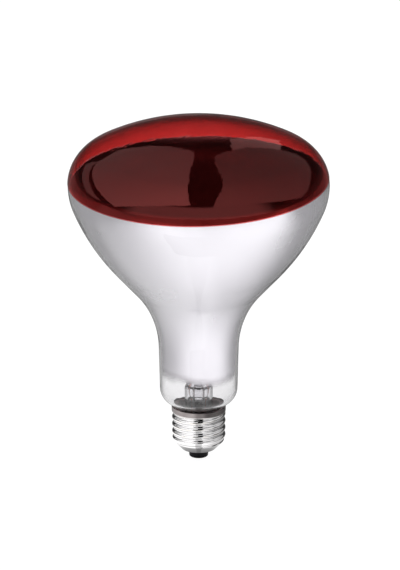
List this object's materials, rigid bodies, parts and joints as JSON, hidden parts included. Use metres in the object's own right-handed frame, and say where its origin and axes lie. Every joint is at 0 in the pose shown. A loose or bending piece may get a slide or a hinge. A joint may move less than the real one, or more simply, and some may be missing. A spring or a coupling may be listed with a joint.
{
  "type": "infrared heat lamp bulb",
  "caption": "Reflector infrared heat lamp: blown glass bulb with a red face, silvered bowl, clear neck and a screw cap.",
  "frame": {"origin": "lowest point of the cap, at the tip of the contact solder, on the lamp's axis", "axes": "+Z along the lamp's axis from the cap to the red face; -Y is the side seen in front; +X to its right"},
  "size_m": [0.1262, 0.1262, 0.17],
  "materials": {
    "clear_glass": "clear hard glass, fire polished, almost colourless",
    "red_lacquer": "deep red translucent heat resistant filter lacquer, glossy",
    "mirror_film": "vapour deposited aluminium behind glass, satin silver from outside",
    "nickel_plate": "nickel plated brass, bright and slightly worn on the crests",
    "black_glass": "glossy black vitrite",
    "contact_brass": "plain brass",
    "solder": "dull tin solder",
    "cement": "matte brown capping cement",
    "copper_wire": "bright copper",
    "nickel_wire": "drawn nickel wire",
    "tungsten": "dark grey drawn tungsten and molybdenum"
  },
  "bodies": {
    "root": {"glass_bulb": "clear_glass", "red_filter_coat": "red_lacquer", "mirror_coat": "mirror_film", "cap_shell": "nickel_plate", "cap_insulator": "black_glass", "centre_contact": "contact_brass", "contact_solder": "solder", "rim_solder": "solder", "capping_cement": "cement", "stem_tube": "clear_glass", "exhaust_tube": "clear_glass", "arbor_rod": "clear_glass", "contact_lead": "copper_wire", "rim_lead": "copper_wire", "seal_wire_left": "copper_wire", "seal_wire_right": "copper_wire", "inner_lead_left": "nickel_wire", "inner_lead_right": "nickel_wire", "filament": "tungsten", "filament_support_1": "tungsten", "filament_support_2": "tungsten", "filament_support_3": "tungsten", "filament_support_4": "tungsten", "filament_support_5": "tungsten"}
  },
  "joints": []
}
